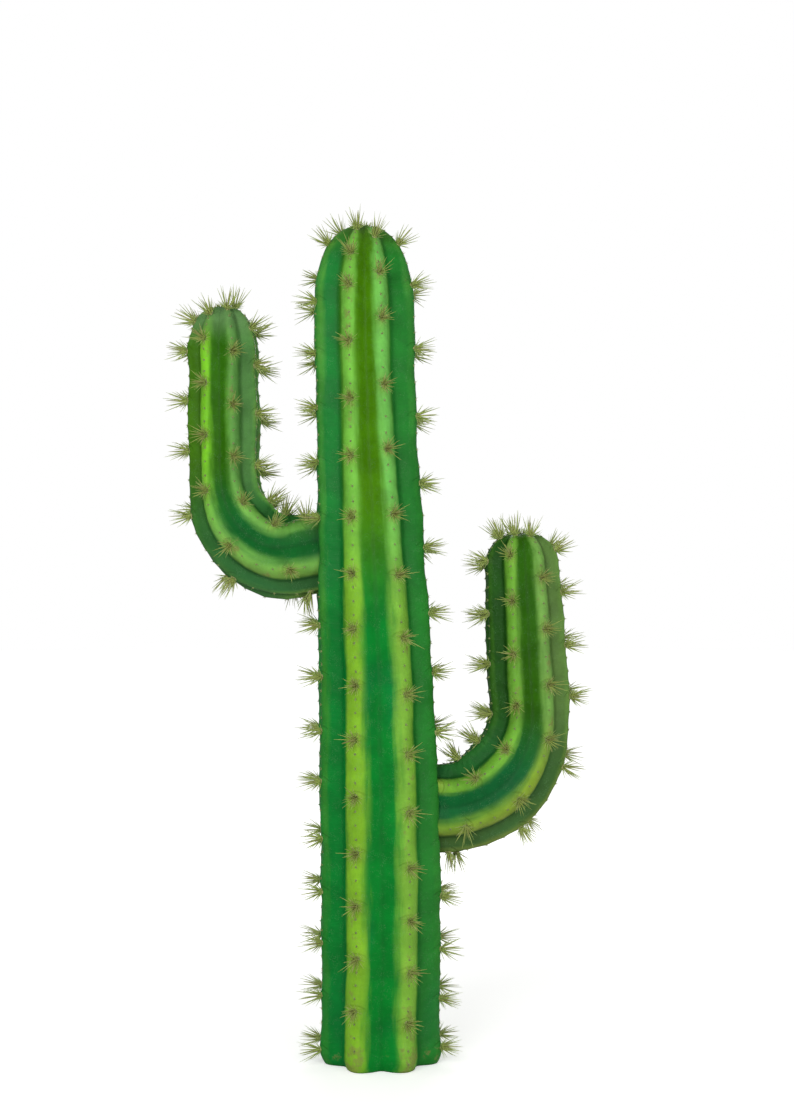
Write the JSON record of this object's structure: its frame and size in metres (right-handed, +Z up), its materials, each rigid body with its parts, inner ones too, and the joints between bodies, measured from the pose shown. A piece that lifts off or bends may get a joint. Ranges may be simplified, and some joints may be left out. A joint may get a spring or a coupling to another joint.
{
  "type": "columnar cactus with two raised arms",
  "caption": "Ribbed columnar cactus with two arms that turn upward at different heights, spine clusters on the rib crests and a flat cut at ground level.",
  "frame": {"origin": "centre of the flat cut under the trunk, at ground level", "axes": "+Z up the trunk, +X towards the lower, right-hand arm, and the view in the picture looks along +Y"},
  "size_m": [1.6196, 0.614, 3.2496],
  "materials": {
    "trunk_skin": "satin",
    "arm_skin": "satin",
    "spine": "satin",
    "felt": "matte"
  },
  "bodies": {
    "root": {"trunk": "trunk_skin", "left_arm_lower": "arm_skin", "left_arm_upper": "arm_skin", "right_arm_lower": "arm_skin", "right_arm_upper": "arm_skin"}
  },
  "joints": []
}
